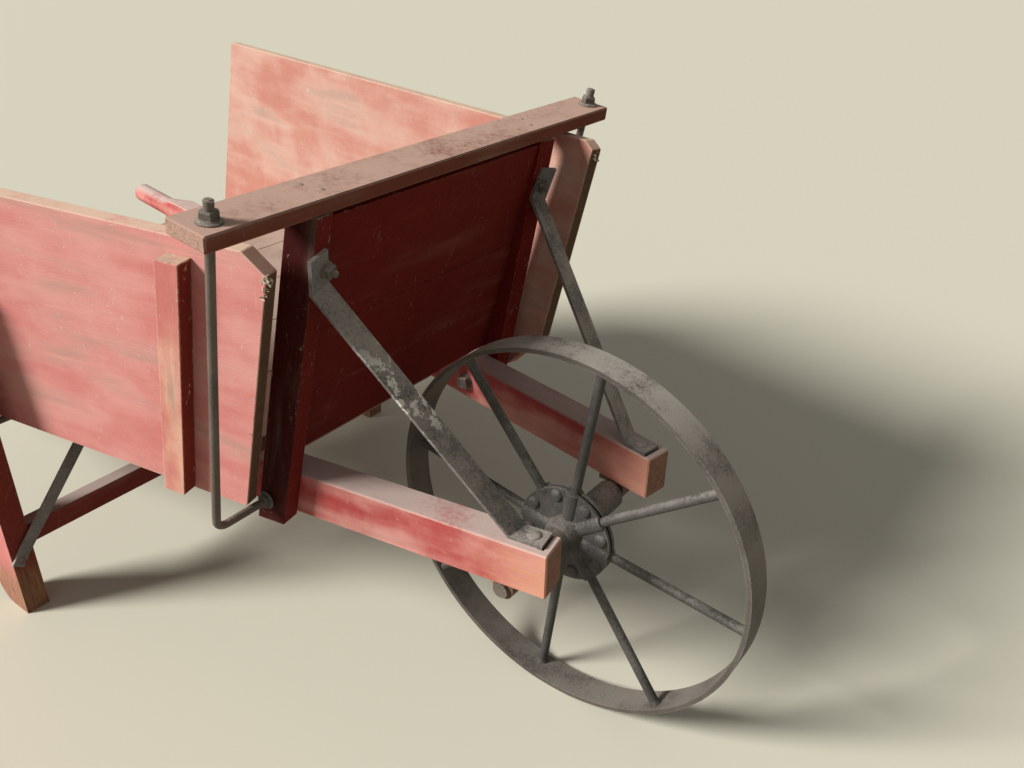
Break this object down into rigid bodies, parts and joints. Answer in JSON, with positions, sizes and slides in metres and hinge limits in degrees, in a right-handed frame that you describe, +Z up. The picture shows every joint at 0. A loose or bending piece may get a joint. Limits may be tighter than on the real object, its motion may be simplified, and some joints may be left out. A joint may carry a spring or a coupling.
{
  "type": "garden wheelbarrow",
  "caption": "Antique red-painted wooden garden wheelbarrow with a spoked iron wheel, a flat bed and removable side boards.",
  "frame": {"origin": "on the floor under the wheel axle, halfway between the shafts", "axes": "+X forward, from the handles toward the wheel; +Y to the barrow's left; +Z up"},
  "size_m": [1.5326, 0.7617, 0.6485],
  "materials": {
    "red_wood": "worn matt red paint over wood",
    "bare_wood": "weathered wood with little paint left",
    "iron": "dark iron with dust and light rust"
  },
  "bodies": {
    "frame": {"axle_bearing_left": "iron", "axle_bearing_right": "iron", "bed_plank_1": "bare_wood", "bed_plank_2": "bare_wood", "bed_plank_3": "bare_wood", "bed_plank_4": "bare_wood", "bed_plank_5": "bare_wood", "bed_plank_6": "bare_wood", "cross_sill_front": "bare_wood", "cross_sill_middle": "bare_wood", "cross_sill_rear": "bare_wood", "dash_batten_left": "bare_wood", "dash_batten_right": "bare_wood", "dash_plank_1": "red_wood", "dash_plank_2": "red_wood", "dash_plank_3": "red_wood", "front_brace_left": "iron", "front_brace_right": "iron", "leg_bolt_left": "iron", "leg_bolt_right": "iron", "leg_brace_left": "iron", "leg_brace_right": "iron", "leg_left": "red_wood", "leg_right": "red_wood", "leg_stretcher": "red_wood", "post_left": "red_wood", "post_right": "red_wood", "shaft_left": "red_wood", "shaft_right": "red_wood", "side_rod_left": "iron", "side_rod_right": "iron", "top_beam": "bare_wood"},
    "wheel": {"hub_left": "iron", "hub_right": "iron", "wheel_axle": "iron", "wheel_rim": "iron", "wheel_spokes": "iron"},
    "side_left": {"board_cleat_front_left": "red_wood", "board_cleat_rear_left": "red_wood", "side_board_left": "red_wood"},
    "side_right": {"board_cleat_front_right": "red_wood", "board_cleat_rear_right": "red_wood", "side_board_right": "red_wood"}
  },
  "joints": [
    {"name": "wheel_spin", "type": "hinge", "parent": "frame", "child": "wheel", "pos_m": [0, 0, 0.2286], "axis": [0, 1, 0], "continuous": true},
    {"name": "side_left_slide", "type": "slide", "parent": "frame", "child": "side_left", "axis": [0.9847, -0.1736, -0.0132], "range_m": [-0.069, 0.006]},
    {"name": "side_right_slide", "type": "slide", "parent": "frame", "child": "side_right", "axis": [0.9847, 0.1736, -0.0132], "range_m": [0, 0.075]}
  ]
}
